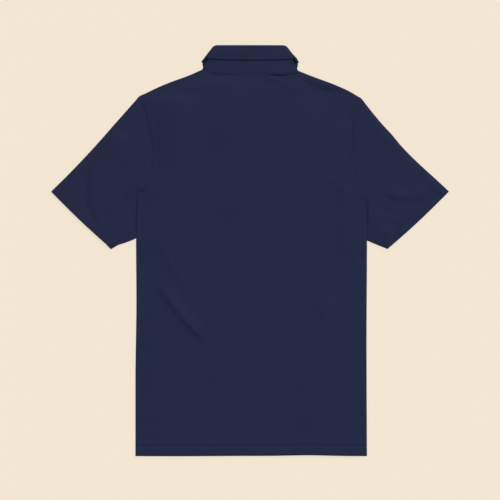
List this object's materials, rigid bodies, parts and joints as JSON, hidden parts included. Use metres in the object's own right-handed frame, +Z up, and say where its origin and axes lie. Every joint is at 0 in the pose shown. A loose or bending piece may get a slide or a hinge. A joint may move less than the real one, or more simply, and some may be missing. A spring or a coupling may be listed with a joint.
{
  "type": "polo shirt",
  "caption": "Short-sleeved polo shirt laid flat on its front, back up, with a turned-over collar, a buttoned placket and hemmed edges.",
  "frame": {"origin": "middle of the underside, on the surface the shirt lies on", "axes": "+Y from the hem to the collar, +X to the wearer's right, +Z up from the surface, out of the shirt's back"},
  "size_m": [0.796, 0.8216, 0.0081],
  "materials": {
    "knit": "smooth dark navy jersey, matt with a faint sheen",
    "collar_knit": "the same navy cloth, folded and interlined",
    "button": "dark navy resin, satin"
  },
  "bodies": {
    "root": {"back": "knit", "front": "knit", "sleeve_left": "knit", "sleeve_right": "knit", "collar": "collar_knit", "placket_top": "knit", "placket_under": "knit", "button_1": "button", "button_2": "button", "button_3": "button"}
  },
  "joints": []
}
